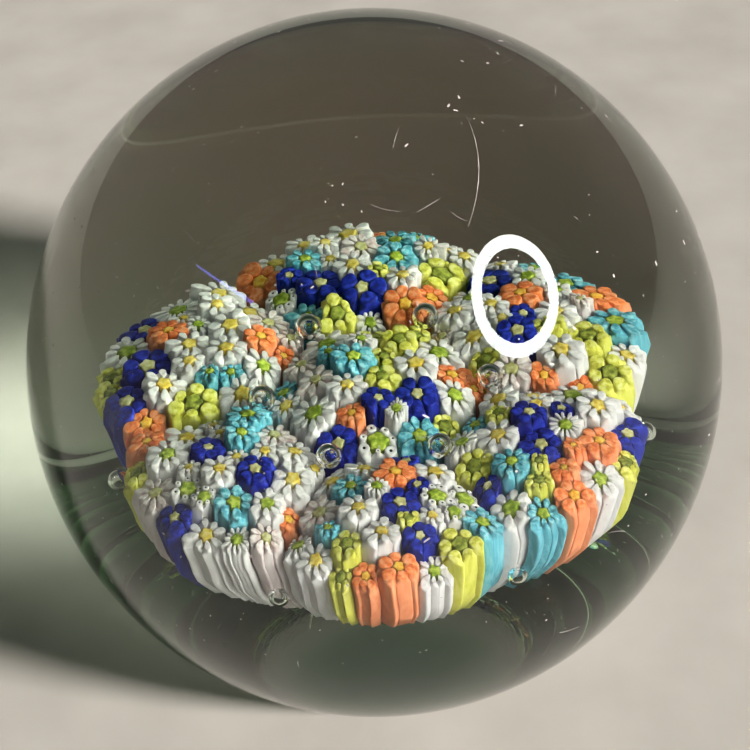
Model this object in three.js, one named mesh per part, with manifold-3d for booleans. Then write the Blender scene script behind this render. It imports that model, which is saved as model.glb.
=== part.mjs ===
// Millefiori paperweight: seven domed clusters of patterned glass canes, set on a clear cushion
// and cased in a clear ball that is ground flat underneath.
// Millimetres, +Z up, origin at the middle of the ground foot, the front cluster towards -Y.
import * as THREE from "three";
import { mergeVertices } from "three/addons/utils/BufferGeometryUtils.js";
import Module from "manifold-3d";

// ---- Driving dimensions ----
const BALL_RADIUS = 38;
const BALL_HALF_HEIGHT = 39.3; // the ball is a little taller than it is wide
const BALL_HEIGHT = 27; // of the ball's centre above the foot
const FOOT_BEVEL = 0.5;
const GAP = 0.3; // left between parts that the furnace fuses together

const CLUSTERS_ROUND_THE_MIDDLE = 6;
const CANES_IN_A_CLUSTER = 28;
const CORE_CANES = 7; // the innermost canes of a cluster, joined as one core
const RIM_BUNDLES = 7; // the other canes of a cluster, joined in bundles of neighbours
const INNER_JUNCTION = 8.44; // radius at which the middle cluster meets two others
const CREASE = 0.3; // clear glass between two clusters
const MIDDLE_ROUNDING = 8; // radius that trims the middle cluster's corners
const LOBE_RADIUS = 10.3; // of an outer cluster's round side
const LOBE_CENTRE = 10; // how far out the centre of that round side is
const SETUP_RADIUS = LOBE_CENTRE + LOBE_RADIUS;

// Heights are measured from the ball's centre.
const DOME_TOP = 0.2;
const DOME_FALL = 0.009; // fall of the whole set-up, per square millimetre of radius
const CLUSTER_FALL = 2.7; // further fall from a cluster's middle to its edge
const CANE_CROWN = 0.35; // each cane's own domed end
const WAIST_TOP = -6; // the canes stand upright above this, and lean together below it
const WAIST_MIDDLE = -9.5;
const WAIST_SCALE = 0.93; // of the set-up's plan at WAIST_MIDDLE
const ROOT_BOTTOM = -16.5;
const ROOT_SCALE = 0.6; // of the set-up's plan at ROOT_BOTTOM
const ROOT_RISE = 5; // from the middle canes' ends to those at the rim

const CUSHION_FOOT_RADIUS = 20;
const INNER_BUBBLE = { out: INNER_JUNCTION, height: -2.6, radius: 1.0 };
const OUTER_BUBBLE = { out: 17.8, height: -8.6, radius: 0.9 };

// ---- How finely round shapes are cut into facets ----
const BALL_SIDES = 48;
const RINGS_BELOW_THE_EQUATOR = 6;
const RINGS_ABOVE_THE_EQUATOR = 12;
const LOBE_SIDES = 36;
const HOLLOW_SIDES = 28;
const CUSHION_SIDES = 40;
const BOWL_RINGS = 6;
const SLIVER = 0.25; // corners closer together than this become one

// ---- How the canes are packed ----
const GOLDEN_ANGLE = Math.PI * (3 - Math.sqrt(5));
const RELAXING_STEPS = 30;
const SIZE_SPREAD = 1.1; // square millimetres, how unequal the canes are

const wasm = await Module();
wasm.setup();

// ---- Flat geometry: convex outlines as lists of [x, y], anticlockwise ----
// A half-plane is { n: [x, y], d }, which keeps the points with n.p <= d.
const dot = (a, b) => a[0] * b[0] + a[1] * b[1];
const minus = (a, b) => [a[0] - b[0], a[1] - b[1]];
const scaled = (a, s) => [a[0] * s, a[1] * s];
const towards = (angle) => [Math.cos(angle), Math.sin(angle)];
const distance = (a, b) => Math.hypot(...minus(a, b));

function clip(outline, { n, d }) {
  const kept = [];
  outline.forEach((a, i) => {
    const b = outline[(i + 1) % outline.length];
    const da = dot(n, a) - d;
    const db = dot(n, b) - d;
    if (da <= 0) kept.push(a);
    if (da * db < 0) {
      const t = da / (da - db);
      kept.push([a[0] + t * (b[0] - a[0]), a[1] + t * (b[1] - a[1])]);
    }
  });
  return kept;
}

function centroid(outline) {
  let area = 0;
  let x = 0;
  let y = 0;
  outline.forEach((a, i) => {
    const b = outline[(i + 1) % outline.length];
    const cross = a[0] * b[1] - b[0] * a[1];
    area += cross;
    x += (a[0] + b[0]) * cross;
    y += (a[1] + b[1]) * cross;
  });
  return [x / (3 * area), y / (3 * area)];
}

function circle([x, y], radius, sides) {
  return Array.from({ length: sides }, (_, i) => {
    const [c, s] = towards((2 * Math.PI * i) / sides);
    return [x + radius * c, y + radius * s];
  });
}

// Numbers the corners of several outlines, so that outlines that meet share their corners.
function sharedCorners(outlines) {
  const corners = [];
  const numberOf = (p) => {
    const known = corners.findIndex((q) => distance(p, q) < SLIVER);
    return known < 0 ? corners.push(p) - 1 : known;
  };
  const rings = outlines.map((outline) => {
    const ring = outline.map(numberOf);
    return ring.filter((corner, i) => corner !== ring[(i + 1) % ring.length]);
  });
  return { corners, rings };
}

// ---- The clusters ----
const SECTOR = Math.PI / CLUSTERS_ROUND_THE_MIDDLE; // half of an outer cluster's share of the turn
const APOTHEM = INNER_JUNCTION * Math.cos(SECTOR);

// The walls of a cluster's plan, moved out by grow: straight creases, and a round side.
function middleWalls(grow) {
  const sides = Array.from({ length: CLUSTERS_ROUND_THE_MIDDLE }, (_, i) => ({
    n: towards((2 * i + 1) * SECTOR),
    d: APOTHEM - CREASE / 2 + grow,
  }));
  return { sides, centre: [0, 0], radius: MIDDLE_ROUNDING + grow };
}

function outerWalls(azimuth, grow) {
  const sides = [
    { n: towards(azimuth + Math.PI), d: -APOTHEM - CREASE / 2 + grow },
    { n: towards(azimuth + SECTOR + Math.PI / 2), d: -CREASE / 2 + grow },
    { n: towards(azimuth - SECTOR - Math.PI / 2), d: -CREASE / 2 + grow },
  ];
  return { sides, centre: scaled(towards(azimuth), LOBE_CENTRE), radius: LOBE_RADIUS + grow };
}

const planOf = ({ sides, centre, radius }, facets) => sides.reduce(clip, circle(centre, radius, facets));

function newCluster(name, wallsAt) {
  const walls = wallsAt(0);
  const plan = planOf(walls, LOBE_SIDES);
  return { name, wallsAt, walls, plan, middle: centroid(plan) };
}

const OUTER_NAMES = ["back_right", "back", "back_left", "front_left", "front", "front_right"];
const CLUSTERS = [
  newCluster("centre", middleWalls),
  ...OUTER_NAMES.map((name, i) => {
    const azimuth = (2 * i + 1) * SECTOR;
    return newCluster(name, (grow) => outerWalls(azimuth, grow));
  }),
];

// 0 in a cluster's middle and 1 at the nearest wall.
function outwardness(p, { walls, middle }) {
  const fromMiddle = minus(p, middle);
  const toSides = walls.sides.map((s) => dot(s.n, fromMiddle) / (s.d - dot(s.n, middle)));
  const toRound = (q) => distance(q, walls.centre) / walls.radius;
  const start = toRound(middle);
  return Math.min(Math.max(...toSides, (toRound(p) - start) / (1 - start), 0), 1);
}

const topAt = (p, cluster) =>
  DOME_TOP - DOME_FALL * dot(p, p) - CLUSTER_FALL * outwardness(p, cluster) ** 3.5;

const rootAt = (p) => ROOT_BOTTOM + (ROOT_RISE * dot(p, p)) / SETUP_RADIUS ** 2;

// How much the set-up's plan is drawn in at a height.
function drawnIn(z) {
  const along = (z0, s0, z1, s1) => s0 + ((s1 - s0) * (z - z0)) / (z1 - z0);
  if (z >= WAIST_TOP) return 1;
  if (z >= WAIST_MIDDLE) return along(WAIST_TOP, 1, WAIST_MIDDLE, WAIST_SCALE);
  return along(WAIST_MIDDLE, WAIST_SCALE, ROOT_BOTTOM, ROOT_SCALE);
}

const placed = (p, z) => [...scaled(p, drawnIn(z)), z + BALL_HEIGHT];

// ---- The canes: a relaxed packing of each cluster's plan ----
// The half-plane of the points that belong to cane a rather than to cane b.
function border(a, b) {
  const gap = minus(b.at, a.at);
  const apart = Math.hypot(...gap);
  const d = (dot(b.at, b.at) - dot(a.at, a.at) + a.size - b.size) / (2 * apart);
  return { n: scaled(gap, 1 / apart), d };
}

const cellOf = (cane, canes, plan) =>
  canes.filter((other) => other !== cane).map((other) => border(cane, other)).reduce(clip, plan);

function packCanes(cluster, seed) {
  const { walls, middle } = cluster;
  const roomToSides = walls.sides.map((s) => s.d - dot(s.n, middle));
  const room = Math.min(...roomToSides, walls.radius - distance(middle, walls.centre));
  let canes = Array.from({ length: CANES_IN_A_CLUSTER }, (_, k) => {
    const out = 0.9 * room * Math.sqrt((k + 0.5) / CANES_IN_A_CLUSTER);
    const [c, s] = towards(k * GOLDEN_ANGLE + seed);
    return {
      at: [middle[0] + out * c, middle[1] + out * s],
      size: SIZE_SPREAD * Math.sin(1.7 * k + 2.3 * seed),
    };
  });
  for (let step = 0; step < RELAXING_STEPS; step++) {
    canes = canes.map((cane) => ({
      size: cane.size,
      at: centroid(cellOf(cane, canes, cluster.plan)),
    }));
  }
  return canes;
}

// Lists of cane numbers: the core first, and then the bundles in turn round the cluster.
function bundlesOf(canes, middle) {
  const from = (i) => minus(canes[i].at, middle);
  const turn = (i) => Math.atan2(from(i)[1], from(i)[0]);
  const outwards = canes.map((_, i) => i).sort((i, j) => Math.hypot(...from(i)) - Math.hypot(...from(j)));
  const rim = outwards.slice(CORE_CANES).sort((i, j) => turn(i) - turn(j));
  const share = rim.length / RIM_BUNDLES;
  const rimBundles = Array.from({ length: RIM_BUNDLES }, (_, b) =>
    rim.slice(Math.round(b * share), Math.round((b + 1) * share)),
  );
  return [outwards.slice(0, CORE_CANES), ...rimBundles];
}

// ---- Meshes and solids ----
// Joins the points that coincide and drops the triangles that this leaves without an area.
function welded(geometry) {
  geometry.deleteAttribute("normal");
  geometry.deleteAttribute("uv");
  const joined = mergeVertices(geometry, 1e-4);
  const index = Array.from(joined.index.array);
  const triangles = index.filter((_, i) => i % 3 === 0).map((_, i) => index.slice(3 * i, 3 * i + 3));
  joined.setIndex(triangles.filter((corners) => new Set(corners).size === 3).flat());
  return joined;
}

// A mesh from triangles of three [x, y, z] points each, anticlockwise seen from outside.
function meshOf(triangles) {
  const soup = new THREE.BufferGeometry();
  soup.setAttribute("position", new THREE.Float32BufferAttribute(triangles.flat(2), 3));
  return welded(soup);
}

// The wall between two columns of points, the first column's right-hand neighbour being outside.
function wall(column, next) {
  return column.slice(1).flatMap((high, i) => [
    [column[i], next[i], next[i + 1]],
    [column[i], next[i + 1], high],
  ]);
}

function manifoldOf(geometry) {
  return new wasm.Manifold(
    new wasm.Mesh({
      numProp: 3,
      vertProperties: geometry.attributes.position.array,
      triVerts: new Uint32Array(geometry.index.array),
    }),
  );
}

function geometryOf(solid) {
  const mesh = solid.getMesh();
  const geometry = new THREE.BufferGeometry();
  geometry.setAttribute("position", new THREE.BufferAttribute(mesh.vertProperties, 3));
  geometry.setIndex(new THREE.BufferAttribute(mesh.triVerts, 1));
  return geometry;
}

// The corners of a bundle, with those on its outside moved in by half the gap.
function insetCorners(corners, rimEdges) {
  const inset = [...corners];
  const before = new Map(rimEdges.map(([a, b]) => [b, a]));
  const after = new Map(rimEdges);
  const inwards = (a, b) => {
    const [x, y] = minus(corners[b], corners[a]);
    const length = Math.hypot(x, y);
    return [-y / length, x / length];
  };
  for (const [corner, next] of after) {
    const m = inwards(before.get(corner), corner);
    const n = inwards(corner, next);
    const reach = GAP / 2 / (1 + dot(m, n));
    inset[corner] = minus(corners[corner], scaled([m[0] + n[0], m[1] + n[1]], -reach));
  }
  return inset;
}

function bundle(rings, corners, cluster) {
  const edges = rings.flatMap((ring) => ring.map((a, i) => [a, ring[(i + 1) % ring.length]]));
  const known = new Set(edges.map(([a, b]) => `${a} ${b}`));
  const rimEdges = edges.filter(([a, b]) => !known.has(`${b} ${a}`));
  const inset = insetCorners(corners, rimEdges);
  const foot = (p) => placed(p, rootAt(p));
  const head = (p, crown) => placed(p, topAt(p, cluster) + crown);
  const column = (p) => [foot(p), placed(p, WAIST_MIDDLE), placed(p, WAIST_TOP), head(p, -CANE_CROWN)];
  const walls = rimEdges.flatMap(([a, b]) => wall(column(inset[a]), column(inset[b])));
  const ends = rings.flatMap((ring) => {
    const middle = centroid(ring.map((corner) => corners[corner]));
    return ring.flatMap((corner, i) => {
      const a = inset[corner];
      const b = inset[ring[(i + 1) % ring.length]];
      return [
        [foot(middle), foot(b), foot(a)],
        [head(middle, CANE_CROWN), head(a, -CANE_CROWN), head(b, -CANE_CROWN)],
      ];
    });
  });
  return meshOf([...walls, ...ends]);
}

// The hollow that a cluster fills in the clear casing. Each is a hair larger than the one before,
// so that no two hollows have an edge in the same place.
function hollowFor(cluster, index) {
  const clearance = GAP + 0.1 + 0.013 * index;
  const outline = planOf(cluster.wallsAt(clearance), HOLLOW_SIDES);
  const middle = cluster.middle;
  const nearer = (p, share) => minus(middle, scaled(minus(middle, p), share));
  const foot = (p) => placed(p, rootAt(p) - GAP / 2);
  const roof = (p) => placed(p, topAt(p, cluster) + CANE_CROWN + clearance);
  const column = (p) => [
    foot(p),
    placed(p, WAIST_MIDDLE),
    placed(p, WAIST_TOP),
    roof(p),
    roof(nearer(p, 0.8)),
    roof(nearer(p, 0.5)),
  ];
  const triangles = outline.flatMap((a, i) => {
    const b = outline[(i + 1) % outline.length];
    const top = [roof(middle), roof(nearer(a, 0.5)), roof(nearer(b, 0.5))];
    return [...wall(column(a), column(b)), [foot(middle), foot(b), foot(a)], top];
  });
  return manifoldOf(meshOf(triangles));
}

// A solid of revolution about Z, from [radius, height] points that run up its outside.
function turned(profile, sides) {
  const points = profile.map(([r, z]) => new THREE.Vector2(r, z));
  return welded(new THREE.LatheGeometry(points, sides).rotateX(Math.PI / 2));
}

function ballProfile() {
  const start = -Math.asin((BALL_HEIGHT - FOOT_BEVEL) / BALL_HALF_HEIGHT);
  const footRadius = BALL_RADIUS * Math.sqrt(1 - (BALL_HEIGHT / BALL_HALF_HEIGHT) ** 2);
  const below = Array.from({ length: RINGS_BELOW_THE_EQUATOR }, (_, i) => {
    return start * (1 - i / RINGS_BELOW_THE_EQUATOR);
  });
  const above = Array.from({ length: RINGS_ABOVE_THE_EQUATOR }, (_, i) => {
    return (i * Math.PI) / 2 / RINGS_ABOVE_THE_EQUATOR;
  });
  const arc = [...below, ...above].map((a) => {
    return [BALL_RADIUS * Math.cos(a), BALL_HEIGHT + BALL_HALF_HEIGHT * Math.sin(a)];
  });
  return [[0, 0], [footRadius - FOOT_BEVEL, 0], ...arc, [0, BALL_HEIGHT + BALL_HALF_HEIGHT]];
}

function bubbles() {
  return [INNER_BUBBLE, OUTER_BUBBLE].flatMap(({ out, height, radius }) =>
    Array.from({ length: CLUSTERS_ROUND_THE_MIDDLE }, (_, i) => {
      const [x, y] = scaled(towards(2 * i * SECTOR), out);
      const ball = new THREE.SphereGeometry(radius, 8, 6).rotateX(0.3 + 0.1 * i).rotateZ(0.4);
      return manifoldOf(welded(ball.translate(x, y, BALL_HEIGHT + height)));
    }),
  );
}

// The hollow in the cushion's top follows the ends of the canes, which it carries.
function cushionBowl() {
  return Array.from({ length: BOWL_RINGS + 1 }, (_, i) => {
    const p = [SETUP_RADIUS * (1 - i / BOWL_RINGS), 0];
    const [r, , z] = placed(p, rootAt(p) - GAP);
    return [r, z];
  });
}

const cushion = () => turned([[0, 0], [CUSHION_FOOT_RADIUS, 0], ...cushionBowl()], CUSHION_SIDES);

function casing() {
  const [rimRadius, rimHeight] = cushionBowl()[0];
  const wellTop = rimHeight + 1;
  const well = [
    [0, -1],
    [CUSHION_FOOT_RADIUS + GAP, -1],
    [CUSHION_FOOT_RADIUS + GAP, 0],
    [rimRadius + GAP, wellTop],
    [0, wellTop],
  ];
  const start = manifoldOf(turned(well, CUSHION_SIDES));
  const hollow = [...CLUSTERS.map(hollowFor), ...bubbles()].reduce((all, one) => all.add(one), start);
  return geometryOf(manifoldOf(turned(ballProfile(), BALL_SIDES)).subtract(hollow));
}

// ---- Materials ----
const glass = (color, roughness, opacity = 1) =>
  new THREE.MeshStandardMaterial({ color, roughness, metalness: 0, opacity, transparent: opacity < 1 });
const CLEAR_GLASS = glass(0xdfe9df, 0.03, 0.35);
const CANE_GLASS = [0xe9e4e6, 0x1b2a9c, 0xee7d3c, 0xd3d84a, 0x4fb3bd].map((color) => glass(color, 0.3));

// ---- Assembly ----
const paperweight = new THREE.Group();

function addPart(name, geometry, material) {
  geometry.computeVertexNormals();
  const part = new THREE.Mesh(geometry, material);
  part.name = name;
  paperweight.add(part);
}

CLUSTERS.forEach((cluster, index) => {
  const canes = packCanes(cluster, index);
  const cells = canes.map((cane) => cellOf(cane, canes, cluster.plan));
  const { corners, rings } = sharedCorners(cells);
  bundlesOf(canes, cluster.middle).forEach((members, b) => {
    const geometry = bundle(members.map((i) => rings[i]), corners, cluster);
    const name = b === 0 ? `${cluster.name}_core` : `${cluster.name}_canes_${b}`;
    addPart(name, geometry, CANE_GLASS[(b + index) % CANE_GLASS.length]);
  });
});
addPart("clear_casing", casing(), CLEAR_GLASS);
addPart("clear_cushion", cushion(), CLEAR_GLASS);

export default paperweight;
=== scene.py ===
"""Looks of the millefiori paperweight: flower canes built petal by petal inside one solid glass ball.

The plan of the canes repeats the CAD part's own: the same clusters, the same relaxed packing and the
same bundles, so each bundle of flowers here stands for the CAD bundle of the same name.
"""

import math
import random

import bpy
import numpy as np
from mathutils import Matrix, Vector


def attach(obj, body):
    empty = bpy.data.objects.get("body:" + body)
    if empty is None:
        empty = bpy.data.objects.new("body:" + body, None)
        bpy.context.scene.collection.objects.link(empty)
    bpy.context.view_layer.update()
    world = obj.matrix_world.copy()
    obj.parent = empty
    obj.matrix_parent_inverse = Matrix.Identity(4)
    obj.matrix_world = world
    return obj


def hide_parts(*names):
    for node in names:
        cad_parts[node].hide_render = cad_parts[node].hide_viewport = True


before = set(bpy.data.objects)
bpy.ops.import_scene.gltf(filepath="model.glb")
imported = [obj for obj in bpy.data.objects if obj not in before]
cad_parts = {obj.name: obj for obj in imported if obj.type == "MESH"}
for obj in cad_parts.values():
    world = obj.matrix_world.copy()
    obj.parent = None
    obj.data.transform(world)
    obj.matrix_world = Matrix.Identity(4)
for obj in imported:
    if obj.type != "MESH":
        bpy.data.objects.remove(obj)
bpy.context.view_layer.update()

MM = 0.001  # the plan and the canes are worked out in millimetres, as the CAD part is

# ---- The ball ----
BALL_RADIUS = 38
BALL_HALF_HEIGHT = 39.3  # the ball is a little taller than it is wide
BALL_HEIGHT = 27  # of the ball's centre above the foot
FOOT_BEVEL = 0.5
BALL_SEGMENTS = 256
BALL_RINGS = 144
BEVEL_RINGS = 5
FOOT_RINGS = 4
BUBBLE_SEGMENTS = 32
BUBBLE_RINGS = 24

# ---- The set-up: heights are measured from the ball's centre ----
CLUSTERS_ROUND_THE_MIDDLE = 6
CANES_IN_A_CLUSTER = 28
CORE_CANES = 7  # the innermost canes of a cluster
RIM_BUNDLES = 7  # of the other canes of a cluster
INNER_JUNCTION = 8.44  # radius at which the middle cluster meets two others
CREASE = 0.3  # clear glass between two clusters
MIDDLE_ROUNDING = 8  # radius that trims the middle cluster's corners
LOBE_RADIUS = 10.3  # of an outer cluster's round side
LOBE_CENTRE = 10  # how far out the centre of that round side is
SETUP_RADIUS = LOBE_CENTRE + LOBE_RADIUS
DOME_TOP = 0.2
DOME_FALL = 0.009  # fall of the whole set-up, per square millimetre of radius
CLUSTER_FALL = 2.7  # further fall from a cluster's middle to its edge
CLUSTER_STEEPNESS = 3.5  # how much of that fall comes near the edge
WAIST_TOP = -6  # the canes stand upright above this, and lean together below it
WAIST_MIDDLE = -9.5
WAIST_SCALE = 0.93  # of the set-up's plan at WAIST_MIDDLE
ROOT_BOTTOM = -16.5
ROOT_SCALE = 0.6  # of the set-up's plan at ROOT_BOTTOM
ROOT_RISE = 5  # from the middle canes' ends to those at the rim
INNER_BUBBLE = {"out": INNER_JUNCTION, "height": -1.6, "radius": 1.0}
OUTER_BUBBLE = {"out": 18.6, "height": -8.4, "radius": 0.8}

# ---- How the canes are packed ----
PARALLEL = 1e-9  # less than this, and a direction counts as running along a side
GOLDEN_ANGLE = math.pi * (3 - math.sqrt(5))
RELAXING_STEPS = 30
FIRST_SPREAD = 0.9  # of the room in a cluster, for the canes' first places
SIZE_SPREAD = 1.1  # square millimetres, how unequal the canes are
SIZE_TURN = 1.7  # radians from cane to cane, of the wave that the sizes follow
SIZE_TURN_PER_CLUSTER = 2.3  # and from cluster to cluster
LOBE_SIDES = 36

# ---- How a cane is built ----
COLUMN_LEVELS = 9
LEVEL_CROWDING = 1.6  # how much closer the levels are near the top
CELL_INSET = 0.02  # clear glass that each cane keeps to itself
FURTHEST_EDGE = 1.25  # of the cell's mean reach, that a petal may run to
CANE_STEP = 0.42  # how much higher or lower than its neighbours a cane may stand
PETAL_STEP = 0.05  # how much higher or lower than its neighbours a petal may stand
CANE_TILT = 0.16  # the most that a cane's end may slope by chance
SLOPE_FOLLOWED = 0.4  # of the cluster's slope, by a cane's own end
CROWN_SEEN = 0.08  # how far a cane's end is domed
EDGE_ROUNDING = 0.13  # of a rod's end, as a share of its width
PETAL_RELIEF = 0.34  # how far the petals stand up out of the cane's body
PETAL_FOOT = 0.97  # of a petal's own section, where it meets the body
SHOULDER = 0.22  # the height over which a petal widens into the body
BODY_REACH = 0.965  # of the way to the petal's tip
BODY_FILL = 1.25  # how much of the ring the rods fill below the petals
BODY_EGG = 0.35  # the rods' shape below the petals, in petal_section's terms
BODY_SQUARE = 0.42
WAVE = 0.13  # how far the columns waver
WAVES_DOWN = 0.8  # radians of that waver per millimetre
PETALS_MORE_OR_LESS = (-1, 0, 0, 1)  # than the design has
PETAL_TURN = 0.1  # of the way to the next petal, by which a petal may be out of place
PETAL_TIP = (0.95, 1.02)  # where a petal ends, of the way to the cell's edge
PETAL_SIDES = 18
THIN_PETAL_SIDES = 12
THIN_PETALS = 10  # this many petals or more are thin ones
HEART_SIZE = (0.9, 1.1)  # of the design's heart
HEART_GAP = 0.03  # between the heart and the petals
HEART_SIDES = 20
HEART_POINTS = 5
HEART_POINTED = 0.16  # how far its points stand out, of its radius

# One letter of DESIGNS for each cane of a cluster, in the order that the packing makes them.
KINDS = {
    "centre": "ytbywbgowpdygotrgtyyboptywgg",
    "back_right": "wbyobpwwgwybogwytytgotwwwpop",
    "back": "wwttypbwwbtbwwywwotrywgwooot",
    "back_left": "wwgwwotwbowwpytwbobywygdopgw",
    "front_left": "wwbttwbwrwggwrwodppowwwyptbw",
    "front": "ybwwdwrtboyrtobdywyrpgbwtwow",
    "front_right": "bbydwobtoyywyowgbtogbywtwdgw",
}


# ---- Flat geometry: convex outlines as lists of (x, y), anticlockwise ----
def dot(a, b):
    return a[0] * b[0] + a[1] * b[1]


def minus(a, b):
    return (a[0] - b[0], a[1] - b[1])


def scaled(a, s):
    return (a[0] * s, a[1] * s)


def towards(angle):
    return (math.cos(angle), math.sin(angle))


def distance(a, b):
    return math.hypot(a[0] - b[0], a[1] - b[1])


def clip(outline, normal, d):
    """The part of the outline with normal.p <= d."""
    kept = []
    for i, a in enumerate(outline):
        b = outline[(i + 1) % len(outline)]
        da, db = dot(normal, a) - d, dot(normal, b) - d
        if da <= 0:
            kept.append(a)
        if da * db < 0:
            t = da / (da - db)
            kept.append((a[0] + t * (b[0] - a[0]), a[1] + t * (b[1] - a[1])))
    return kept


def centroid(outline):
    area = x = y = 0
    for i, a in enumerate(outline):
        b = outline[(i + 1) % len(outline)]
        cross = a[0] * b[1] - b[0] * a[1]
        area += cross
        x += (a[0] + b[0]) * cross
        y += (a[1] + b[1]) * cross
    return (x / (3 * area), y / (3 * area))


def circle(centre, radius, sides):
    turns = [towards(2 * math.pi * i / sides) for i in range(sides)]
    return [(centre[0] + radius * c, centre[1] + radius * s) for c, s in turns]


# ---- The clusters ----
SECTOR = math.pi / CLUSTERS_ROUND_THE_MIDDLE
APOTHEM = INNER_JUNCTION * math.cos(SECTOR)


class Cluster:
    def __init__(self, name, sides, centre, radius):
        self.name, self.sides, self.centre, self.radius = name, sides, centre, radius
        self.plan = circle(centre, radius, LOBE_SIDES)
        for normal, d in sides:
            self.plan = clip(self.plan, normal, d)
        self.middle = centroid(self.plan)

    def outwardness(self, p):
        """0 in the cluster's middle and 1 at the nearest wall."""
        away = minus(p, self.middle)
        to_sides = [dot(n, away) / (d - dot(n, self.middle)) for n, d in self.sides]
        start = distance(self.middle, self.centre) / self.radius
        to_round = (distance(p, self.centre) / self.radius - start) / (1 - start)
        return min(max(*to_sides, to_round, 0), 1)

    def top(self, p):
        fall = CLUSTER_FALL * self.outwardness(p) ** CLUSTER_STEEPNESS
        return DOME_TOP - DOME_FALL * dot(p, p) - fall


def make_clusters():
    azimuths = [(2 * i + 1) * SECTOR for i in range(CLUSTERS_ROUND_THE_MIDDLE)]
    sides = [(towards(azimuth), APOTHEM - CREASE / 2) for azimuth in azimuths]
    clusters = [Cluster("centre", sides, (0, 0), MIDDLE_ROUNDING)]
    names = ["back_right", "back", "back_left", "front_left", "front", "front_right"]
    for azimuth, name in zip(azimuths, names):
        sides = [
            (towards(azimuth + math.pi), -APOTHEM - CREASE / 2),
            (towards(azimuth + SECTOR + math.pi / 2), -CREASE / 2),
            (towards(azimuth - SECTOR - math.pi / 2), -CREASE / 2),
        ]
        centre = scaled(towards(azimuth), LOBE_CENTRE)
        clusters.append(Cluster(name, sides, centre, LOBE_RADIUS))
    return clusters


def root_at(p):
    return ROOT_BOTTOM + ROOT_RISE * dot(p, p) / SETUP_RADIUS**2


def drawn_in(z):
    """How much the set-up's plan is drawn in at a height. Works on arrays."""
    heights = [ROOT_BOTTOM, WAIST_MIDDLE, WAIST_TOP]
    return np.interp(z, heights, [ROOT_SCALE, WAIST_SCALE, 1])


# ---- The canes ----
def cell_of(k, canes, plan):
    (at, size), cell = canes[k], plan
    for j, (other, other_size) in enumerate(canes):
        if j != k:
            gap = minus(other, at)
            apart = math.hypot(*gap)
            d = (dot(other, other) - dot(at, at) + size - other_size) / (2 * apart)
            cell = clip(cell, scaled(gap, 1 / apart), d)
    return cell


def pack_canes(cluster, seed):
    middle = cluster.middle
    room = min(d - dot(n, middle) for n, d in cluster.sides)
    room = min(room, cluster.radius - distance(middle, cluster.centre))
    canes = []
    for k in range(CANES_IN_A_CLUSTER):
        out = FIRST_SPREAD * room * math.sqrt((k + 0.5) / CANES_IN_A_CLUSTER)
        c, s = towards(k * GOLDEN_ANGLE + seed)
        size = SIZE_SPREAD * math.sin(SIZE_TURN * k + SIZE_TURN_PER_CLUSTER * seed)
        canes.append(((middle[0] + out * c, middle[1] + out * s), size))
    for _ in range(RELAXING_STEPS):
        cells = [cell_of(k, canes, cluster.plan) for k in range(len(canes))]
        canes = [(centroid(cell), size) for cell, (_, size) in zip(cells, canes)]
    return canes


def bundles_of(canes, middle):
    """Lists of cane numbers: the core first, and then the bundles in turn round the cluster."""
    away = [minus(at, middle) for at, _ in canes]
    outwards = sorted(range(len(canes)), key=lambda i: math.hypot(*away[i]))
    rim = sorted(outwards[CORE_CANES:], key=lambda i: math.atan2(away[i][1], away[i][0]))
    share = len(rim) // RIM_BUNDLES
    return [outwards[:CORE_CANES]] + [rim[b * share : (b + 1) * share] for b in range(RIM_BUNDLES)]


# ---- Rods ----
class Rods:
    """Gathers rods of glass into one mesh. A rod is a stack of rings, top ring first."""

    def __init__(self):
        self.points, self.faces, self.slots, self.tones, self.depths = [], [], [], [], []
        self.count = 0

    def add(self, head, rings, foot, slots, tone):
        """Rings are (levels, sides, 3). Slots are the cap's and then the bands', the last for the rest."""
        levels, sides, _ = rings.shape
        start = self.count
        points = np.concatenate([rings.reshape(-1, 3), [head, foot]])
        top, bottom = start + levels * sides, start + levels * sides + 1
        i = np.arange(sides)
        j = (i + 1) % sides
        for ring in range(levels - 1):
            low = start + (ring + 1) * sides
            high = start + ring * sides
            self.faces += list(zip(high + i, low + i, low + j, high + j))
            self.slots += [slots[min(ring + 1, len(slots) - 1)]] * sides
        self.faces += list(zip([top] * sides, start + i, start + j))
        self.slots += [slots[0]] * sides
        last = start + (levels - 1) * sides
        # The bottom end takes the root glass, a near-black green that is painted shade for the set-up's
        # underside.
        self.faces += list(zip([bottom] * sides, last + j, last + i))
        self.slots += ["root"] * sides
        self.points.append(points)
        self.tones.append(np.full(len(points), tone))
        self.depths.append(head[2] - points[:, 2])
        self.count += len(points)

    def mesh(self, name, materials):
        mesh = bpy.data.meshes.new(name)
        points = np.concatenate(self.points) * MM
        mesh.from_pydata(points.tolist(), [], [tuple(int(v) for v in f) for f in self.faces])
        used = sorted(set(self.slots))
        for slot in used:
            mesh.materials.append(materials[slot])
        mesh.polygons.foreach_set("material_index", [used.index(s) for s in self.slots])
        mesh.polygons.foreach_set("use_smooth", [True] * len(mesh.polygons))
        for label, values in (("tone", self.tones), ("depth", self.depths)):
            layer = mesh.attributes.new(label, "FLOAT", "POINT")
            layer.data.foreach_set("value", np.concatenate(values))
        mesh.update()
        return mesh


def petal_section(length, width, sides, egg, square, point):
    """An oval along +X, as (sides, 2). Egg makes its +X end wider, and point sharpens that end.

    Square is 1 for an ellipse, and less than 1 for a boxier outline.
    """
    a = 2 * np.pi * np.arange(sides) / sides
    c, s = np.cos(a), np.sin(a)
    x = np.sign(c) * np.abs(c) ** square * length / 2
    y = np.sign(s) * np.abs(s) ** (square + point * np.maximum(c, 0)) * width / 2 * (1 + egg * c)
    return np.stack([x, y], 1)


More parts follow.
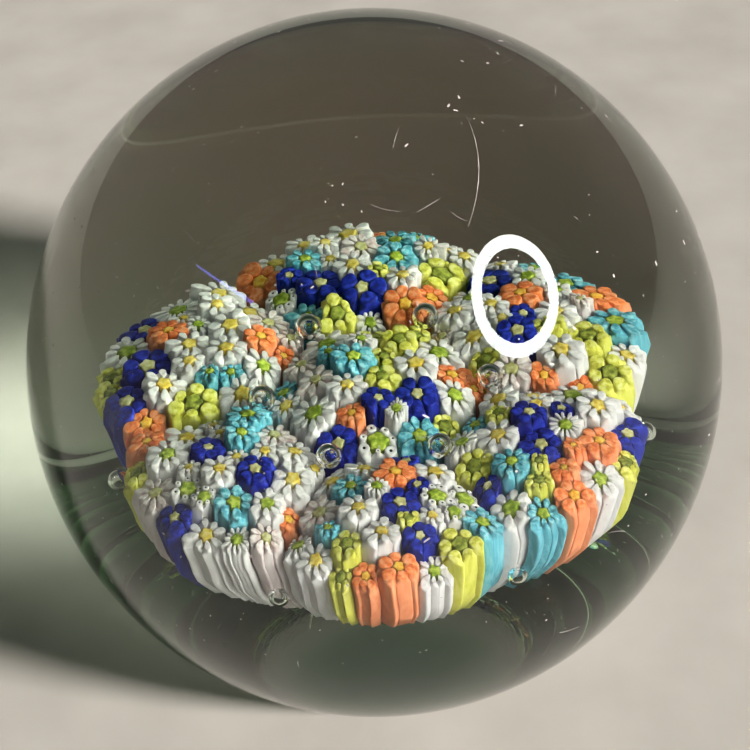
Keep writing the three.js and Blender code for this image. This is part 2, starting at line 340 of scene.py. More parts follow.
# Petals, the heart's share of the cane, how much of the ring the petals fill, how much wider they are
# at the tip, how square and how pointed they are, and the glass of petals and heart. The last design
# is a heart ringed by little tubes.
DESIGNS = {
    "w": (8, 0.30, 0.66, 0.40, 0.95, 0.5, "white", "yellow_eye"),
    "g": (9, 0.32, 0.66, 0.35, 0.95, 0.6, "white", "green_eye"),
    "d": (13, 0.32, 0.60, 0.45, 0.95, 0.6, "white", "green_eye"),
    "p": (9, 0.26, 0.68, 0.35, 0.90, 0.5, "pinkish", "cream_eye"),
    "b": (6, 0.26, 1.00, 0.35, 0.90, 0.6, "blue", "cream_eye"),
    "o": (7, 0.24, 0.98, 0.25, 0.90, 0.6, "orange", "amber_eye"),
    "y": (6, 0.34, 0.86, 0.20, 0.95, 0.6, "chartreuse", "olive_eye"),
    "t": (8, 0.28, 0.74, 0.20, 1.00, 0.8, "turquoise", "green_eye"),
    "r": (7, 0.44, 0.98, 0.00, 0.90, 0.0, "white", "green_eye"),
}
# The rings of a rod's end: the share of its section, and the share of the rounding that it has sunk.
FLAT_CAP = ((0.6, 0.0), (0.88, 0.06), (0.97, 0.4), (1.0, 1.0))
TUBE_CAP = ((0.16, 0.9), (0.26, 0.2), (0.72, 0.0), (0.93, 0.35), (1.0, 1.0))


class Cane:
    """One flower cane in its cell of the plan."""

    def __init__(self, cell, cluster, kind, dice):
        self.middle = np.array(centroid(cell))
        self.cell, self.cluster, self.kind, self.dice = cell, cluster, kind, dice
        self.lift = dice.uniform(-CANE_STEP, CANE_STEP)
        tilt = np.array([dice.uniform(-CANE_TILT, CANE_TILT), dice.uniform(-CANE_TILT, CANE_TILT)])
        self.phase = dice.uniform(0, 2 * math.pi)
        self.reach = sum(distance(p, self.middle) for p in cell) / len(cell)
        self.base = cluster.top(self.middle)
        step = 0.5
        ahead = cluster.top(self.middle + (step, 0)) - cluster.top(self.middle - (step, 0))
        across = cluster.top(self.middle + (0, step)) - cluster.top(self.middle - (0, step))
        self.slope = tilt + SLOPE_FOLLOWED * np.array([ahead, across]) / (2 * step)

    def edge(self, angle):
        """How far the cell reaches from its middle in a direction."""
        away = towards(angle)
        best = FURTHEST_EDGE * self.reach
        for i, a in enumerate(self.cell):
            b = self.cell[(i + 1) % len(self.cell)]
            side = minus(b, a)
            normal = (side[1], -side[0])
            facing = dot(normal, away)
            if facing > PARALLEL:
                best = min(best, dot(normal, minus(a, self.middle)) / facing)
        return best - CELL_INSET

    def face(self, p):
        """The height of the flower's face at points (n, 2) of the plan."""
        away = p - self.middle
        crown = CROWN_SEEN * (1 - 2 * (away**2).sum(1) / self.reach**2)
        return self.base + self.lift + away @ self.slope + crown

    def warp(self, p, z):
        """Points of the upright cane as they lie in the settled set-up."""
        lean = WAVE * np.sin(z * WAVES_DOWN + self.phase)
        s = drawn_in(z)
        x = (p[:, 0] + lean * math.sin(self.phase)) * s
        y = (p[:, 1] + lean * math.cos(self.phase)) * s
        return np.stack([x, y, z + BALL_HEIGHT], 1)

    def rod(self, rods, at, top, deep, cap, slots, raised=0.0):
        """A rod about a point of the plan, whose section is top at its face and deep in the cane's body."""
        at = np.array(at)
        rounding = EDGE_ROUNDING * min(np.ptp(top[:, 0]), np.ptp(top[:, 1]))
        rings = []
        for share, sink in cap:
            p = at + share * top
            rings.append(self.warp(p, self.face(p) + raised - sink * rounding))
        edge = self.face(at + top) + raised
        rings.append(self.warp(at + PETAL_FOOT * top, edge - PETAL_RELIEF))
        shoulder = edge - PETAL_RELIEF - SHOULDER
        root = root_at(at)
        for level in range(COLUMN_LEVELS + 1):
            t = (level / COLUMN_LEVELS) ** LEVEL_CROWDING
            rings.append(self.warp(at + deep, shoulder + (root - shoulder) * t))
        sunk = cap[0][1] * rounding
        head = self.warp(at[None], self.face(at[None]) + raised - sunk)[0]
        foot = self.warp(at[None], np.array([root]))[0]
        rods.add(head, np.array(rings), foot, slots, self.dice.uniform(0, 1))

    def build(self, rods):
        petals, heart_share, fill, egg, square, point, petal_glass, eye_glass = DESIGNS[self.kind]
        dice = self.dice
        n = petals + dice.choice(PETALS_MORE_OR_LESS)
        turn = dice.uniform(0, 2 * math.pi)
        heart = heart_share * self.reach * dice.uniform(*HEART_SIZE)
        sides = PETAL_SIDES if n < THIN_PETALS else THIN_PETAL_SIDES
        for k in range(n):
            angle = turn + 2 * math.pi * (k + dice.uniform(-PETAL_TURN, PETAL_TURN)) / n
            c, s = towards(angle)
            spin = np.array([[c, s], [-s, c]])
            inner = heart + HEART_GAP
            outer = self.edge(angle) * dice.uniform(*PETAL_TIP)
            mid = (inner + outer) / 2
            room = 2 * math.pi * mid / n
            length = outer - inner
            width = fill * room
            cap, slots = FLAT_CAP, [petal_glass]
            if self.kind == "r":
                width = length = min(width, length)
                cap, slots = TUBE_CAP, ["dark", "dark", petal_glass]
            top = petal_section(length, width, sides, egg, square, point) @ spin
            body = BODY_REACH * outer - inner
            deep = petal_section(body, BODY_FILL * room, sides, BODY_EGG, BODY_SQUARE, 0)
            deep += ((body - length) / 2, 0)
            at = (self.middle[0] + mid * c, self.middle[1] + mid * s)
            self.rod(rods, at, top, deep @ spin, cap, slots, dice.uniform(-PETAL_STEP, PETAL_STEP))
        a = 2 * np.pi * np.arange(HEART_SIDES) / HEART_SIDES
        star = heart * (1 + HEART_POINTED * np.cos(HEART_POINTS * a + self.phase))
        section = np.stack([star * np.cos(a), star * np.sin(a)], 1)
        self.rod(rods, self.middle, section, section, FLAT_CAP, [eye_glass])


# ---- Materials ----
def node(tree, kind, **values):
    made = tree.nodes.new(kind)
    for key, value in values.items():
        if key in made.inputs:
            made.inputs[key].default_value = value
        else:
            setattr(made, key, value)
    return made


def new_material(name):
    material = bpy.data.materials.new(name)
    material.use_nodes = True
    tree = material.node_tree
    return material, tree, tree.nodes["Principled BSDF"]


def ramp(tree, fac, stops):
    """A colour ramp with two or more stops, each a position and a colour."""
    made = tree.nodes.new("ShaderNodeValToRGB")
    while len(made.color_ramp.elements) < len(stops):
        made.color_ramp.elements.new(1)
    for element, (position, colour) in zip(made.color_ramp.elements, stops):
        element.position = position
        element.color = (*colour, 1)
    tree.links.new(fac, made.inputs["Fac"])
    return made.outputs["Color"]


# A mix node's sockets for colours go by number, because it has others of the same names.
MIX_FAC, MIX_A, MIX_B, MIX_RESULT = 0, 6, 7, 2


def mixed(tree, kind, fac, a, b):
    mix = node(tree, "ShaderNodeMix", data_type="RGBA", blend_type=kind)
    for number, value in ((MIX_FAC, fac), (MIX_A, a), (MIX_B, b)):
        socket = mix.inputs[number]
        if isinstance(value, bpy.types.NodeSocket):
            tree.links.new(value, socket)
        else:
            socket.default_value = value if isinstance(value, float) else (*value, 1)
    return mix.outputs[MIX_RESULT]


def remapped(tree, value, before, after):
    """A value over one range, as it lies over another."""
    remap = tree.nodes.new("ShaderNodeMapRange")
    for label, number in zip(("From Min", "From Max", "To Min", "To Max"), (*before, *after)):
        remap.inputs[label].default_value = number
    tree.links.new(value, remap.inputs["Value"])
    return remap.outputs["Result"]


def noise(tree, place, scale, detail):
    texture = node(tree, "ShaderNodeTexNoise", Scale=scale, Detail=detail)
    tree.links.new(place, texture.inputs["Vector"])
    return texture.outputs["Fac"]


STREAK_STRETCH = (1, 1, 0.12)  # the streaks run down the cane
STREAK_SCALE = 2600.0
STREAK_DETAIL = 3.0
STREAK_STOPS = (0.36, 0.5, 0.63)  # where the dark, main and pale glass lie in the noise
GRAIN_SCALE = 1500.0
GRAIN_DETAIL = 2.0
GRAIN_STRENGTH = 0.2
GRAIN_HEIGHT = 0.00006  # metres
DIMMEST_ROD = 0.8  # of the brightest
BODY_AND_SHADE_SEEN = (0.2, 0.75)  # millimetres below a rod's end, over which the body's duller colour and its painted shade come in
BODY_AND_SHADE_SHARE = 0.65  # of the body's colour and painted shade, at most
CANE_ROUGHNESS = (0.35, 0.6)
CANE_GLOSS = 0.15


def cane_glass(name, dark, main, pale, below):
    """Opaque cane glass, streaked down the cane, and duller and mostly darker below the petals: partly the
    body's own glass, partly painted shade down the cane's sides. Each rod differs a little.
    """
    material, tree, shader = new_material(name)
    link = tree.links.new
    place = tree.nodes.new("ShaderNodeTexCoord")
    stretched = node(tree, "ShaderNodeMapping", Scale=STREAK_STRETCH)
    link(place.outputs["Object"], stretched.inputs["Vector"])
    streaks = noise(tree, stretched.outputs["Vector"], STREAK_SCALE, STREAK_DETAIL)
    streaked = ramp(tree, streaks, list(zip(STREAK_STOPS, (dark, main, pale))))
    tone = node(tree, "ShaderNodeAttribute", attribute_name="tone")
    rods = ramp(tree, tone.outputs["Fac"], [(0, (DIMMEST_ROD,) * 3), (1, (1, 1, 1))])
    varied = mixed(tree, "MULTIPLY", 1.0, streaked, rods)
    depth = node(tree, "ShaderNodeAttribute", attribute_name="depth")
    # Just below a rod's end the sides fade towards the body colour: partly the body's own glass, partly
    # painted shade.
    sunk = remapped(tree, depth.outputs["Fac"], BODY_AND_SHADE_SEEN, (0, BODY_AND_SHADE_SHARE))
    link(mixed(tree, "MIX", sunk, varied, below), shader.inputs["Base Color"])
    bump = node(tree, "ShaderNodeBump", Strength=GRAIN_STRENGTH, Distance=GRAIN_HEIGHT)
    grain = noise(tree, stretched.outputs["Vector"], GRAIN_SCALE, GRAIN_DETAIL)
    link(grain, bump.inputs["Height"])
    link(bump.outputs["Normal"], shader.inputs["Normal"])
    link(remapped(tree, streaks, (0, 1), CANE_ROUGHNESS), shader.inputs["Roughness"])
    shader.inputs["Specular IOR Level"].default_value = CANE_GLOSS
    return material


GLASS_SURFACE = (0.985, 0.995, 0.985, 1)
GLASS_INDEX = 1.5
GLASS_DEPTHS = (0.60, 0.79, 0.58, 1)  # the bottle green that thick glass has
GLASS_DENSITY = 11.0


def clear_glass():
    material, tree, shader = new_material("clear_soda_glass")
    shader.inputs["Base Color"].default_value = GLASS_SURFACE
    shader.inputs["Transmission Weight"].default_value = 1
    shader.inputs["IOR"].default_value = GLASS_INDEX
    shader.inputs["Roughness"].default_value = 0.0
    depths = node(tree, "ShaderNodeVolumeAbsorption", Color=GLASS_DEPTHS, Density=GLASS_DENSITY)
    tree.links.new(depths.outputs["Volume"], tree.nodes["Material Output"].inputs["Volume"])
    return material


def mottled(name, scale, detail, stops, roughness):
    """A rough material whose colour wanders between the stops."""
    material, tree, shader = new_material(name)
    place = tree.nodes.new("ShaderNodeTexCoord")
    colour = ramp(tree, noise(tree, place.outputs["Object"], scale, detail), stops)
    tree.links.new(colour, shader.inputs["Base Color"])
    shader.inputs["Roughness"].default_value = roughness
    return material


# For each glass: its dark streaks, itself, its pale streaks, and the cane's body below the petals, whose
# duller, mostly darker colour is partly the body's own glass and partly painted shade on the sides.
CANE_GLASS = {
    "white": ((0.67, 0.61, 0.63), (0.81, 0.765, 0.77), (0.86, 0.82, 0.83), (0.72, 0.68, 0.71)),
    "pinkish": ((0.62, 0.46, 0.46), (0.80, 0.68, 0.67), (0.86, 0.79, 0.78), (0.68, 0.58, 0.61)),
    "blue": ((0.004, 0.007, 0.09), (0.007, 0.013, 0.23), (0.02, 0.04, 0.38), (0.007, 0.012, 0.20)),
    "orange": ((0.62, 0.12, 0.03), (0.80, 0.22, 0.07), (0.88, 0.36, 0.18), (0.76, 0.28, 0.15)),
    "chartreuse": ((0.45, 0.43, 0.04), (0.72, 0.68, 0.12), (0.82, 0.78, 0.29), (0.58, 0.56, 0.09)),
    "turquoise": ((0.05, 0.22, 0.29), (0.12, 0.43, 0.54), (0.34, 0.64, 0.72), (0.12, 0.39, 0.50)),
    "yellow_eye": ((0.55, 0.36, 0.04), (0.70, 0.52, 0.09), (0.78, 0.64, 0.25), (0.60, 0.45, 0.10)),
    "green_eye": ((0.14, 0.21, 0.01), (0.27, 0.35, 0.03), (0.48, 0.53, 0.10), (0.22, 0.30, 0.03)),
    "cream_eye": ((0.36, 0.32, 0.12), (0.50, 0.46, 0.20), (0.64, 0.60, 0.36), (0.45, 0.42, 0.18)),
    "amber_eye": ((0.60, 0.24, 0.02), (0.76, 0.40, 0.05), (0.82, 0.54, 0.10), (0.66, 0.34, 0.05)),
    "olive_eye": ((0.10, 0.12, 0.01), (0.20, 0.22, 0.03), (0.34, 0.36, 0.06), (0.18, 0.20, 0.03)),
    # The root glass is painted shade: a near-black green for every rod's bottom end, where the set-up's
    # underside lies in shade.
    "root": ((0.012, 0.020, 0.014), (0.025, 0.040, 0.030), (0.04, 0.06, 0.045), (0.02, 0.035, 0.025)),
    "dark": ((0.005, 0.005, 0.006), (0.015, 0.014, 0.016), (0.04, 0.03, 0.03), (0.01, 0.01, 0.01)),
}


def cane_materials():
    return {name: cane_glass(name + "_cane", *tints) for name, tints in CANE_GLASS.items()}


# ---- Pieces of the paperweight ----
def add_object(name, data, place=None):
    thing = bpy.data.objects.new(name, data)
    if place is not None:
        thing.matrix_world = place
    bpy.context.scene.collection.objects.link(thing)
    return thing


def add_piece(name, mesh, replaced):
    piece = add_object(name, mesh)
    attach(piece, "root")
    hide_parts(*replaced)


FLOWER_SEED = 7


def add_flowers():
    materials = cane_materials()
    dice = random.Random(FLOWER_SEED)
    for seed, cluster in enumerate(make_clusters()):
        canes = pack_canes(cluster, seed)
        cells = [cell_of(k, canes, cluster.plan) for k in range(len(canes))]
        for b, members in enumerate(bundles_of(canes, cluster.middle)):
            node_name = f"{cluster.name}_canes_{b}" if b else f"{cluster.name}_core"
            rods = Rods()
            for i in members:
                Cane(cells[i], cluster, KINDS[cluster.name][i], dice).build(rods)
            name = f"{cluster.name}_flowers_{b}" if b else f"{cluster.name}_core_flowers"
            add_piece(name, rods.mesh(name, materials), [node_name])


class Turned:
    """Gathers surfaces turned about upright axes into one mesh."""

    def __init__(self):
        self.points, self.faces, self.smooth = [], [], []

    def add(self, place, poles, rings, segments, flat_rings=0, hollow=False):
        """Poles are the heights of the bottom and the top. Rings are (radius, height), the lowest first."""
        x, y, z = place
        start = len(self.points)
        turns = [towards(a) for a in np.linspace(0, 2 * np.pi, segments, False)]
        self.points += [(x, y, z + pole) for pole in poles]
        for radius, height in rings:
            self.points += [(x + radius * c, y + radius * s, z + height) for c, s in turns]

        def corner(ring, i):
            return start + 2 + ring * segments + i % segments

        last = len(rings) - 1
        for i in range(segments):
            self.face((start, corner(0, i + 1), corner(0, i)), flat_rings > 0, hollow)
            self.face((start + 1, corner(last, i), corner(last, i + 1)), False, hollow)
            for k in range(last):
                band = (corner(k, i), corner(k, i + 1), corner(k + 1, i + 1), corner(k + 1, i))
                self.face(band, k < flat_rings - 1, hollow)

    def face(self, corners, flat, hollow):
        """A hollow's faces point the other way, into the hollow."""
        self.faces.append((corners[0], *corners[:0:-1]) if hollow else corners)
        self.smooth.append(not flat)

    def mesh(self, name):
        mesh = bpy.data.meshes.new(name)
        mesh.from_pydata([tuple(v * MM for v in p) for p in self.points], [], self.faces)
        mesh.polygons.foreach_set("use_smooth", self.smooth)
        mesh.update()
        return mesh


def ball_rings():
    """(radius, height) from near the middle of the foot up to near the top of the ball."""
    low = -math.asin((BALL_HEIGHT - FOOT_BEVEL) / BALL_HALF_HEIGHT)
    foot = BALL_RADIUS * math.cos(low) - FOOT_BEVEL
    rings = [(foot * (i + 1) / FOOT_RINGS, 0) for i in range(FOOT_RINGS)]
    for i in range(1, BEVEL_RINGS):
        a = math.pi / 2 * i / BEVEL_RINGS
        rings.append((foot + FOOT_BEVEL * math.sin(a), FOOT_BEVEL * (1 - math.cos(a))))
    for i in range(BALL_RINGS):
        a = low + (math.pi / 2 - low) * i / BALL_RINGS
        rings.append((BALL_RADIUS * math.cos(a), BALL_HEIGHT + BALL_HALF_HEIGHT * math.sin(a)))
    return rings


def bubble_places():
    for bubble in (INNER_BUBBLE, OUTER_BUBBLE):
        for i in range(CLUSTERS_ROUND_THE_MIDDLE):
            x, y = scaled(towards(2 * i * SECTOR), bubble["out"])
            yield (x, y, BALL_HEIGHT + bubble["height"]), bubble["radius"]


def add_ball():
    glass = Turned()
    glass.add((0, 0, 0), (0, BALL_HEIGHT + BALL_HALF_HEIGHT), ball_rings(), BALL_SEGMENTS, FOOT_RINGS)
    for place, radius in bubble_places():
        slants = [math.pi * k / BUBBLE_RINGS - math.pi / 2 for k in range(1, BUBBLE_RINGS)]
        rings = [(radius * math.cos(a), radius * math.sin(a)) for a in slants]
        glass.add(place, (-radius, radius), rings, BUBBLE_SEGMENTS, hollow=True)
    mesh = glass.mesh("glass_ball")
    mesh.materials.append(clear_glass())
    add_piece("glass_ball", mesh, ["clear_casing", "clear_cushion"])


# ---- Wear: dust and fine scratches on the polished glass ----
WEAR_SEED = 11
WORN = (-0.15, 0.97)  # from the lowest to the highest, as the sine of the elevation
PROUD = 0.008  # how far a fleck or scratch stands out of the glass, and how far it goes in
FLECKS = 700
FLECK_SIZE = (0.03, 0.12)
FLECK_CROWDING = 2.5  # how much more usual the small flecks are
FLECK_STRETCH = (1, 3.5)
FLECK_CORNERS = 7
FLECK_RAGGED = (0.7, 1.2)  # how far out a corner may lie, of the fleck's size
SCRATCHES = 40
SCRATCH_WIDTH = 0.03
SCRATCH_LENGTH = (0.4, 3)
SCRATCH_BEND = 0.3
SCRATCH_STEPS = 8
SCRATCH_TIP = 0.08  # how much of the taper is cut off at each end
LONG_SCRATCH_PLACE = (math.radians(-55), math.radians(64))  # azimuth, elevation
LONG_SCRATCH_HEADING = math.radians(52)
LONG_SCRATCH_LENGTH = 12
LONG_SCRATCH_WIDTH = 1.6 * SCRATCH_WIDTH
DUST_SCALE = 900.0
DUST_DETAIL = 2.0
DUST_TINTS = [(0.35, (0.22, 0.20, 0.17)), (0.65, (0.46, 0.44, 0.40))]
DUST_ROUGHNESS = 0.8


def on_the_glass(azimuth, elevation, proud):
    level = math.cos(elevation)
    x, y, z = level * math.cos(azimuth), level * math.sin(azimuth), math.sin(elevation)
    reach = BALL_RADIUS + proud
    return Vector((reach * x, reach * y, BALL_HEIGHT + (BALL_HALF_HEIGHT + proud) * z))


class Plates:
    """Gathers thin closed plates, each half sunk in the glass, into one mesh."""

    def __init__(self):
        self.points, self.faces = [], []

    def add(self, azimuth, elevation, outline):
        """The outline is (sideways, upwards) pairs in millimetres, about a place on the glass."""
        first, n = len(self.points), len(outline)
        for proud in (PROUD, -PROUD):
            for sideways, upwards in outline:
                turn = sideways / (BALL_RADIUS * math.cos(elevation))
                place = on_the_glass(azimuth + turn, elevation + upwards / BALL_HALF_HEIGHT, proud)
                self.points.append(tuple(place * MM))
        self.faces.append(tuple(range(first, first + n)))
        self.faces.append(tuple(range(first + 2 * n - 1, first + n - 1, -1)))
        for i in range(n):
            j = (i + 1) % n
            self.faces.append((first + j, first + i, first + n + i, first + n + j))


def fleck(dice):
    """The ragged outline of a fleck of dust."""
    size = FLECK_SIZE[0] + (FLECK_SIZE[1] - FLECK_SIZE[0]) * dice.random() ** FLECK_CROWDING
    stretch = dice.uniform(*FLECK_STRETCH)
    turn = Matrix.Rotation(dice.uniform(0, math.pi), 2)
    outline = []
    for k in range(FLECK_CORNERS):
        c, s = towards(2 * math.pi * k / FLECK_CORNERS)
        corner = Vector((c * stretch, s)) * size * dice.uniform(*FLECK_RAGGED)
        outline.append(turn @ corner)
    return outline


def scratch(heading, bend, length, width):
    """The outline of a scratch, which tapers towards both ends."""
    right, left = [], []
    for k in range(SCRATCH_STEPS + 1):
        t = k / SCRATCH_STEPS
        c, s = towards(heading + bend * (t - 0.5))
        out = length * (t - 0.5)
        half = width / 2 * math.sin(math.pi * (SCRATCH_TIP + (1 - 2 * SCRATCH_TIP) * t))
        right.append((out * c + half * s, out * s - half * c))
        left.append((out * c - half * s, out * s + half * c))
    return right + left[::-1]


def add_wear():
    dice = random.Random(WEAR_SEED)
    plates = Plates()

    def somewhere():
        return dice.uniform(0, 2 * math.pi), math.asin(dice.uniform(*WORN))

    for _ in range(FLECKS):
        place = somewhere()
        plates.add(*place, fleck(dice))
    for _ in range(SCRATCHES):
        place = somewhere()
        length = dice.uniform(*SCRATCH_LENGTH)
        heading = dice.uniform(0, math.pi)
        bend = dice.uniform(-SCRATCH_BEND, SCRATCH_BEND)
        plates.add(*place, scratch(heading, bend, length, SCRATCH_WIDTH))
    long_scratch = scratch(LONG_SCRATCH_HEADING, 0, LONG_SCRATCH_LENGTH, LONG_SCRATCH_WIDTH)
    plates.add(*LONG_SCRATCH_PLACE, long_scratch)
    mesh = bpy.data.meshes.new("dust_and_scratches")
    mesh.from_pydata(plates.points, [], plates.faces)
    dust = mottled("dust_and_ground_glass", DUST_SCALE, DUST_DETAIL, DUST_TINTS, DUST_ROUGHNESS)
    mesh.materials.append(dust)
    mesh.update()
    wear = add_object("dust_and_scratches", mesh)
    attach(wear, "root")


# ---- Stage: from here on, places and sizes are in metres ----
FLOOR_SIZE = 3
FLOOR_DROP = 0.00015  # the thin air between the foot and the floor
FLOOR_SCALE = 60.0
FLOOR_DETAIL = 8.0
FLOOR_TINTS = [(0.3, (0.27, 0.264, 0.225)), (0.7, (0.32, 0.315, 0.27))]
FLOOR_ROUGHNESS = 0.9
BALL_CENTRE = Vector((0, 0, BALL_HEIGHT * MM))


def add_floor():
    bpy.ops.mesh.primitive_plane_add(size=FLOOR_SIZE, location=(0, 0, -FLOOR_DROP))
    floor = bpy.context.object
    floor.name = "floor"
    surface = mottled("pale_surface", FLOOR_SCALE, FLOOR_DETAIL, FLOOR_TINTS, FLOOR_ROUGHNESS)
    floor.data.materials.append(surface)
    return floor


def aimed(location, target):
    back = (Vector(location) - Vector(target)).normalized()
    return Matrix.Translation(location) @ back.to_track_quat("Z", "Y").to_matrix().to_4x4()


# A round card that keeps the key off the floor right behind the ball: its middle and half sizes across
# the key's beam and down it, and how far it stands from the ball's middle towards the key.
FLAG_MIDDLE = (0.0395, 0.0190)
FLAG_HALF = (0.0100, 0.0095)
FLAG_AWAY = 0.030
FLAG_SIDES = 40
FLAG_BLACK = (0.02, 0.02, 0.02, 1)


def add_flag(to_key):
    across = Vector((0, 0, 1)).cross(to_key).normalized()
    down = across.cross(to_key)
    centre = BALL_CENTRE + to_key * FLAG_AWAY
    centre += across * FLAG_MIDDLE[0] + down * FLAG_MIDDLE[1]
    rim = [towards(2 * math.pi * i / FLAG_SIDES) for i in range(FLAG_SIDES)]
    points = [tuple(centre + across * FLAG_HALF[0] * c + down * FLAG_HALF[1] * s) for c, s in rim]
    mesh = bpy.data.meshes.new("flag_card")
    mesh.from_pydata(points, [], [tuple(range(FLAG_SIDES))])
    material, _, shader = new_material("black_card")
    shader.inputs["Base Color"].default_value = FLAG_BLACK
    mesh.materials.append(material)
    flag = add_object("flag_card", mesh)
    flag.visible_camera = flag.visible_diffuse = flag.visible_glossy = flag.visible_transmission = False


KEY_AZIMUTH = math.radians(-30)
KEY_ELEVATION = math.radians(25)
KEY_WIDTH = math.radians(9)
KEY_STRENGTH = 13.5
KEY_COLOUR = (1.0, 0.92, 0.94)


def add_key():
    key = bpy.data.lights.new("key", "SUN")
    key.angle = KEY_WIDTH
    key.energy = KEY_STRENGTH
    key.color = KEY_COLOUR
    c, s = towards(KEY_AZIMUTH)
    level = math.cos(KEY_ELEVATION)
    to_key = Vector((c * level, s * level, math.sin(KEY_ELEVATION)))
    lamp = add_object("key", key, aimed(to_key, (0, 0, 0)))
    lamp.visible_glossy = False
    add_flag(to_key)


# Two small lamps on the floor alone: the key as the ball focuses it, and a warm glow right behind the ball.
# Each lamp has its own place, and lights a spot of the floor.
POOLS = {
    "focused_key": {
        "spot": (-0.050, 0.0215, 0),
        "place": (-0.120, 0.035, 0.150),
        "cone": math.radians(12.8),
        "blend": 0.3,
        "power": 1.3,
        "colour": (0.92, 1.0, 0.9),
    },
    "warm_glow": {
        "spot": (0.001, 0.038, 0),
        "place": (0.0, 0.120, 0.150),
        "cone": math.radians(11),
        "blend": 1.0,
        "power": 0.42,
        "colour": (1.0, 0.50, 0.54),
    },
}
POOL_LAMP_RADIUS = 0.01


def add_pools(floor):
    lit = bpy.data.collections.new("lit_by_the_pools")
    lit.objects.link(floor)
    for name, pool in POOLS.items():
        lamp = bpy.data.lights.new(name, "SPOT")
        lamp.energy = pool["power"]
        lamp.color = pool["colour"]
        lamp.spot_size = pool["cone"]
        lamp.spot_blend = pool["blend"]
        lamp.shadow_soft_size = POOL_LAMP_RADIUS
        holder = add_object(name, lamp, aimed(pool["place"], pool["spot"]))
        holder.light_linking.receiver_collection = lit


# The room's glow: heights, from 0.5 for level with the floor to 1 for straight up, and colours.
ROOM = [
    (0.5, (0.18, 0.14, 0.14)),
    (0.62, (0.13, 0.10, 0.10)),
    (0.77, (0.02, 0.04, 0.03)),
    (0.86, (0.004, 0.024, 0.012)),
]


def add_room():
    world = bpy.data.worlds.new("studio")
    world.use_nodes = True
    tree = world.node_tree
    place = tree.nodes.new("ShaderNodeTexCoord")
    split = tree.nodes.new("ShaderNodeSeparateXYZ")
    tree.links.new(place.outputs["Generated"], split.inputs["Vector"])
    height = node(tree, "ShaderNodeMath", operation="MULTIPLY_ADD")
    height.inputs[1].default_value = height.inputs[2].default_value = 0.5  # from -1 to 1 into 0 to 1
    tree.links.new(split.outputs["Z"], height.inputs[0])
    tree.links.new(ramp(tree, height.outputs[0], ROOM), tree.nodes["Background"].inputs["Color"])
    bpy.context.scene.world = world


# The lamps that show only as reflections in the glass. Their places are from the ball's middle.
RING_PLACE = Vector((0.424, -0.242, 0.406))
RING_OUTER = (0.192, 0.155)
RING_INNER = (0.146, 0.119)
RING_TURN = math.radians(33)
RING_SIDES = 96
RING_COLOUR = (0.95, 1.0, 0.96)
RING_STRENGTH = 25.0
STREAK_ENDS = (Vector((-0.482, -0.012, 0.408)), Vector((-0.370, -0.227, 0.465)))
STREAK_WIDTH = 0.012
STREAK_TAPER = 0.4  # of the width, at the streak's thin end
STREAK_COLOUR = (0.10, 0.14, 1.0)
STREAK_STRENGTH = 9.0


def add_glow(name, points, faces, place, colour, strength):
    mesh = bpy.data.meshes.new(name)
    mesh.from_pydata(points, [], faces)
    material, _, shader = new_material(name + "_light")
    shader.inputs["Emission Color"].default_value = (*colour, 1)
    shader.inputs["Emission Strength"].default_value = strength
    mesh.materials.append(material)
    glow = add_object(name, mesh, place)
    glow.visible_camera = glow.visible_diffuse = glow.visible_transmission = glow.visible_shadow = False


def add_ring_lamp():
    points, faces = [], []
    for i in range(RING_SIDES):
        c, s = towards(2 * math.pi * i / RING_SIDES)
        points += [(RING_OUTER[0] * c, RING_OUTER[1] * s, 0), (RING_INNER[0] * c, RING_INNER[1] * s, 0)]
        a, b = 2 * i, 2 * ((i + 1) % RING_SIDES)
        faces.append((a, b, b + 1, a + 1))
    place = aimed(BALL_CENTRE + RING_PLACE, BALL_CENTRE) @ Matrix.Rotation(RING_TURN, 4, "Z")
    add_glow("ring_lamp", points, faces, place, RING_COLOUR, RING_STRENGTH)


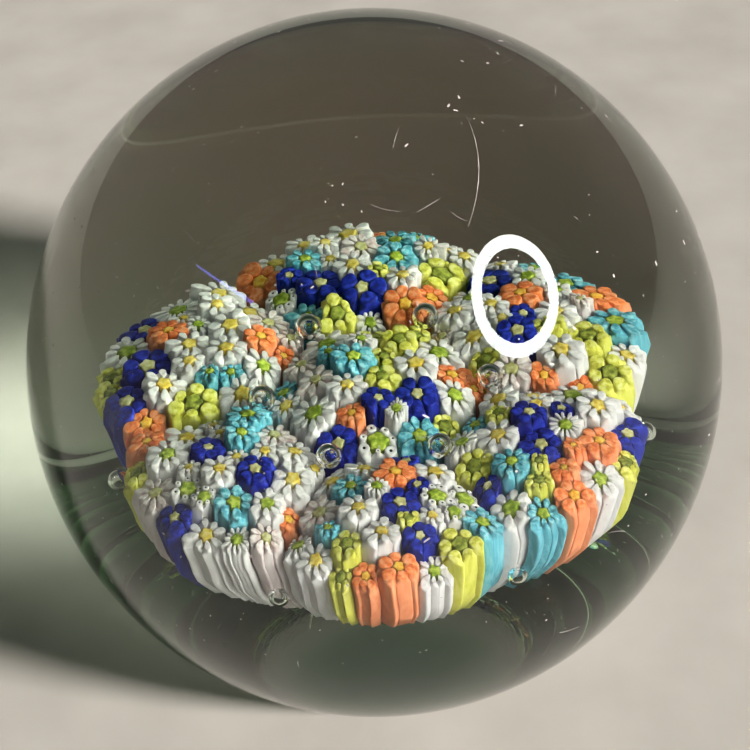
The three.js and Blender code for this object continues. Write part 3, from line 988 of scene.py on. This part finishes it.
def add_streak_lamp():
    start, end = STREAK_ENDS
    middle = (start + end) / 2
    across = (end - start).cross(middle).normalized() * STREAK_WIDTH / 2
    thin = across * STREAK_TAPER
    corners = [start - thin, end - across, end + across, start + thin]
    points = [tuple(corner - middle) for corner in corners]
    place = Matrix.Translation(BALL_CENTRE + middle)
    add_glow("streak_lamp", points, [(0, 1, 2, 3)], place, STREAK_COLOUR, STREAK_STRENGTH)


CAMERA_DISTANCE = 0.152
CAMERA_ELEVATION = math.radians(43.3)
CAMERA_AZIMUTH = math.radians(-2.8)
CAMERA_ROLL = math.radians(-3.5)
CAMERA_LENS = 64.7
SENSOR_WIDTH = 36
NEAREST_SEEN = 0.005
AIM_BELOW_CENTRE = 0.001


def add_camera():
    side = Vector((math.cos(CAMERA_AZIMUTH), math.sin(CAMERA_AZIMUTH), 0))
    ahead = Vector((-math.sin(CAMERA_AZIMUTH), math.cos(CAMERA_AZIMUTH), 0))
    look = ahead * math.cos(CAMERA_ELEVATION) - Vector((0, 0, math.sin(CAMERA_ELEVATION)))
    up = side.cross(look)
    x = side * math.cos(CAMERA_ROLL) + up * math.sin(CAMERA_ROLL)
    y = up * math.cos(CAMERA_ROLL) - side * math.sin(CAMERA_ROLL)
    place = BALL_CENTRE - look * CAMERA_DISTANCE - up * AIM_BELOW_CENTRE
    data = bpy.data.cameras.new("camera")
    data.lens = CAMERA_LENS
    data.sensor_width = SENSOR_WIDTH
    data.clip_start = NEAREST_SEEN
    turned = Matrix((x, y, -look)).transposed().to_4x4()
    bpy.context.scene.camera = add_object("camera", data, Matrix.Translation(place) @ turned)


# How often light may bounce, how often it may pass through glass or be mirrored, and how bright one
# indirect sample may be.
MOST_BOUNCES = 24
MOST_GLASS_BOUNCES = 16
BRIGHTEST_INDIRECT = 14


def set_light_paths():
    scene = bpy.context.scene
    scene.view_settings.view_transform = "Standard"
    scene.cycles.max_bounces = MOST_BOUNCES
    scene.cycles.glossy_bounces = MOST_GLASS_BOUNCES
    scene.cycles.transmission_bounces = MOST_GLASS_BOUNCES
    scene.cycles.sample_clamp_indirect = BRIGHTEST_INDIRECT


add_flowers()
add_ball()
add_wear()
pale_floor = add_floor()
add_key()
add_pools(pale_floor)
add_room()
add_ring_lamp()
add_streak_lamp()
add_camera()
set_light_paths()
